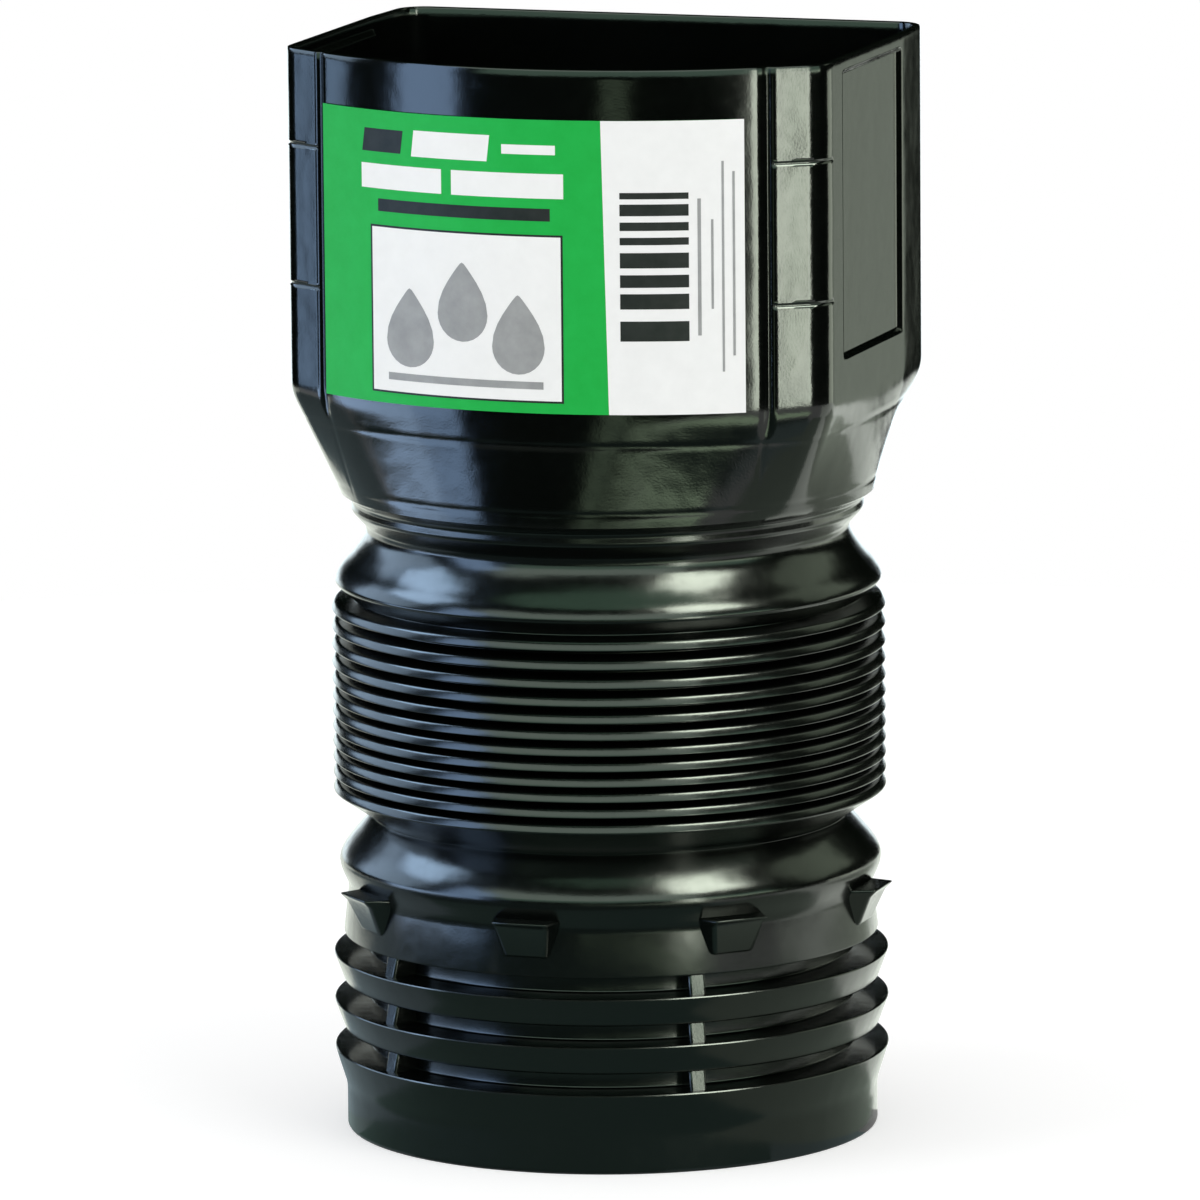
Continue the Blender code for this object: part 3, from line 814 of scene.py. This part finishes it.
def build_patch(name, azimuths, elevations, radius, colour):
    """Part of a sphere round the object, between two azimuths and two elevations in degrees."""
    bm = bmesh.new()
    columns = max(1, round(abs(azimuths[1] - azimuths[0]) / 6))
    rows = max(1, round(abs(elevations[1] - elevations[0]) / 6))
    grid = [[bm.verts.new(direction(between(*azimuths, i / columns), between(*elevations, j / rows))
                          * radius + STUDIO_CENTRE)
             for j in range(rows + 1)] for i in range(columns + 1)]
    for a, b in zip(grid, grid[1:]):
        for j in range(rows):
            bm.faces.new((a[j], b[j], b[j + 1], a[j + 1]))
    add_stage(name, bm, colour)


def build_sheet(name, layer, colour, outline):
    """A flat sheet on the floor; its outline is (right, front) distances from the axis."""
    bm = bmesh.new()
    bm.faces.new([bm.verts.new((right, -front, SHEET_LIFT * layer)) for right, front in outline])
    add_stage(name, bm, colour)


def build_panel(name, side, fronts, heights, colour):
    """An upright panel beside the object, parallel to its sides."""
    bm = bmesh.new()
    bm.faces.new([bm.verts.new((side, -front, z)) for front, z in
                  ((fronts[0], heights[0]), (fronts[1], heights[0]),
                   (fronts[1], heights[1]), (fronts[0], heights[1]))])
    add_stage(name, bm, colour)


def build_softbox(name, azimuth, elevation, distance, width, height, colour, radiance):
    """A lamp that lights the object and doesn't show in its reflections."""
    light = bpy.data.lights.new(name, "AREA")
    light.shape = "RECTANGLE"
    light.size = width
    light.size_y = height
    light.color = colour
    light.energy = radiance * math.pi * width * height
    item = bpy.data.objects.new(name, light)
    bpy.context.scene.collection.objects.link(item)
    ray = direction(azimuth, elevation)
    item.location = STUDIO_CENTRE + ray * distance
    item.rotation_euler = (-ray).to_track_quat("-Z", "Y").to_euler()
    item.visible_camera = False
    item.visible_glossy = False


def build_camera():
    data = bpy.data.cameras.new("camera")
    data.lens = CAMERA_LENS
    data.sensor_width = CAMERA_SENSOR
    data.shift_x, data.shift_y = CAMERA_SHIFT
    camera = bpy.data.objects.new("camera", data)
    bpy.context.scene.collection.objects.link(camera)
    eye = Vector((CAMERA_DISTANCE * math.sin(CAMERA_AZIMUTH),
                  -CAMERA_DISTANCE * math.cos(CAMERA_AZIMUTH), CAMERA_HEIGHT))
    turn = (CAMERA_AIM - eye).to_track_quat("-Z", "Y").to_matrix().to_4x4()
    camera.matrix_world = Matrix.Translation(eye) @ turn @ Matrix.Rotation(CAMERA_ROLL, 4, "Z")
    bpy.context.scene.camera = camera


# Object
plastic = plastic_material()
body = build_body(plastic)
cleats = build_cleats(plastic)
webs = build_webs(plastic)
green = print_material("label_green", (0.001, 0.43, 0.050), (0.004, 0.47, 0.062), 0.48)
white = print_material("label_white", (0.91, 0.92, 0.91), (0.95, 0.96, 0.95), 0.48)
dark = print_material("label_dark", (0.012, 0.016, 0.014), (0.024, 0.028, 0.026), 0.45)
grey = print_material("label_grey", (0.30, 0.31, 0.31), (0.38, 0.39, 0.39), 0.45)
label = build_label(green)

# Print, in millimetres from the label's lower left corner. The sheet is 82.8 by 55.8, and the
# white field reaches 1.2 past its right end
white_field = [(60.2, 0.0), (84.0, 0.0), (84.0, 55.8), (59.0, 55.8)]
title = [slanted(21.0, 47.6, 37.0, 52.6, 0.6), rectangle(40.0, 49.2, 50.5, 51.0),
         rectangle(9.6, 40.9, 27.5, 45.6), rectangle(29.6, 40.9, 52.0, 45.6)]
dark_words = [slanted(9.8, 47.9, 18.6, 52.3, 0.6), rectangle(13.4, 36.6, 49.4, 39.0)]
panel = rectangle(12.0, 2.4, 51.4, 33.6)
panel_line = rectangle(11.6, 2.0, 51.8, 34.0)
drops = [drop(20.4, 12.5, 5.2), drop(31.7, 18.2, 5.2), drop(43.0, 12.5, 5.2)]
water_line = [rectangle(15.5, 4.6, 47.9, 6.0)]
bars = []
bar_foot = 14.0
for height, gap in ((3.8, 2.3), (2.9, 1.2), (2.4, 1.3), (2.9, 1.5), (1.4, 1.3), (1.6, 1.2),
                    (2.2, 1.0), (1.2, 0.0)):
    bars.append(rectangle(62.4, bar_foot, 74.6, bar_foot + height))
    bar_foot += height + gap
small_lines = [rectangle(76.1, 15.0, 76.7, 41.0), rectangle(78.4, 20.0, 78.8, 37.0),
               rectangle(80.2, 8.0, 80.6, 48.0), rectangle(82.0, 11.0, 82.4, 46.0)]
prints = [build_print("print_white_field", [white_field], white, 1),
          build_print("print_title", title, white, 1),
          build_print("print_dark_words", dark_words, dark, 1),
          build_print("print_panel_line", [panel_line], dark, 1),
          build_print("print_panel", [panel], white, 2),
          build_print("print_drops", drops + water_line, grey, 3),
          build_print("print_bars", bars, dark, 2),
          build_print("print_small", small_lines, grey, 2)]

for piece in (body, cleats, webs, label, *prints):
    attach(piece, "root")
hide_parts("adapter_body")
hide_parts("label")

# Stage, lamps and camera. Patches have azimuths and elevations in degrees, and sheets lie in layers
build_floor()
build_world()
build_patch("dark_room", (-180, 180), (-22, 90), 2.2, (0.003, 0.005, 0.003))
build_patch("side_glow", (148, 166), (-22, 0), 2.1, (0.62, 0.70, 0.58))
build_patch("back_right", (124, 148), (-22, 0), 2.1, (2.0, 2.2, 1.8))
build_patch("back_left", (-176, -132), (-22, 0), 2.1, (2.0, 2.3, 2.4))
build_patch("front_strip", (-45, 58), (22, 44), 2.0, (2.0, 2.4, 2.1))
build_patch("low_gleam", (-30, 90), (6, 22), 2.0, (0.9, 1.4, 1.1))
build_patch("high_gleam", (-70, 110), (62, 84), 2.0, (0.6, 1.05, 0.75))
build_patch("left_side", (-116, -74), (6, 28), 2.0, (1.9, 2.6, 3.5))
build_patch("left_lamp_face", (-104, -73), (30, 50), 2.0, (5.0, 7.1, 10.0))
build_patch("left_low", (-88.5, -77), (-10, 4), 2.0, (1.4, 2.1, 3.2))
build_patch("right_box", (48.6, 57), (-12, 16), 2.0, (11.4, 12.2, 10.4))
build_patch("right_lamp_face", (52, 90), (40, 61), 2.0, (18.5, 20.0, 17.0))
build_patch("right_streak", (60, 92), (3, 9), 2.0, (3.6, 4.4, 3.3))
build_patch("right_side", (114, 150), (16, 44), 2.0, (0.80, 0.95, 0.72))
build_sheet("dim_floor", 1, (0.32, 0.42, 0.42),
            ((-0.13, 0.0), (-0.42, 0.10), (-0.38, 0.62), (0.222, 0.62), (0.222, 0.14), (0.15, 0.0)))
build_sheet("dark_floor", 2, (0.07, 0.11, 0.10),
            ((-0.045, 0.045), (-0.38, 0.06), (-0.38, 0.62), (0.222, 0.62), (0.237, 0.36),
             (0.237, 0.23), (0.222, 0.14), (0.16, 0.11), (0.05, 0.045)))
build_sheet("near_floor", 3, (0.15, 0.24, 0.215),
            ((-0.10, 0.02), (-0.12, 0.08), (-0.06, 0.125), (0.06, 0.125), (0.12, 0.08),
             (0.10, 0.02), (0.05, 0.03), (-0.05, 0.03)))
build_sheet("far_floor", 2, (0.010, 0.014, 0.012),
            ((-0.38, 0.62), (-1.0, 2.0), (0.18, 2.0), (0.08, 0.62)))
build_sheet("far_gleam", 3, (0.75, 1.0, 0.68),
            ((0.065, 0.62), (0.17, 1.95), (0.44, 1.9), (0.15, 0.62)))
build_sheet("white_card", 4, (2.4, 3.1, 2.1),
            ((0.135, 0.62), (0.160, 0.52), (0.182, 0.47), (0.204, 0.43), (0.228, 0.36),
             (0.238, 0.26), (0.232, 0.18), (0.30, 0.17), (0.33, 0.30), (0.30, 0.46),
             (0.24, 0.50), (0.18, 0.62)))
build_sheet("back_card", 2, (1.5, 1.6, 1.45),
            ((0.07, 0.0), (0.60, 0.0), (0.60, -0.60), (-0.60, -0.60), (-0.60, 0.0), (-0.07, 0.0),
             (-0.07, -0.02), (0.07, -0.02)))
build_sheet("side_shade", 3, (0.60, 0.68, 0.56),
            ((0.08, -0.14), (0.14, -0.42), (0.34, -0.38), (0.26, -0.10)))
build_sheet("collar_side", 4, (0.40, 0.48, 0.40),
            ((0.0525, 0.055), (0.24, 0.09), (0.26, -0.03), (0.0525, -0.03)))
build_sheet("collar_left", 4, (0.34, 0.44, 0.48),
            ((-0.0525, 0.060), (-0.24, 0.10), (-0.26, -0.03), (-0.0525, -0.03)))
build_sheet("left_shade", 3, (0.24, 0.32, 0.34),
            ((-0.24, 0.05), (-0.46, 0.05), (-0.46, -0.20), (-0.24, -0.16)))
build_panel("left_box", -0.47, (0.325, 0.64), (0.0, 0.55), (2.3, 3.4, 5.4))
build_panel("left_foot", -0.40, (0.06, 0.31), (0.012, 0.075), (3.2, 4.5, 6.7))
build_softbox("left_lamp", -55, 25, 1.35, 0.8, 0.9, (0.93, 0.97, 1.0), 1.6)
build_softbox("right_lamp", 60, 30, 1.35, 0.8, 0.9, (1.0, 1.0, 0.97), 1.8)
build_camera()
bpy.context.scene.view_settings.view_transform = "Standard"
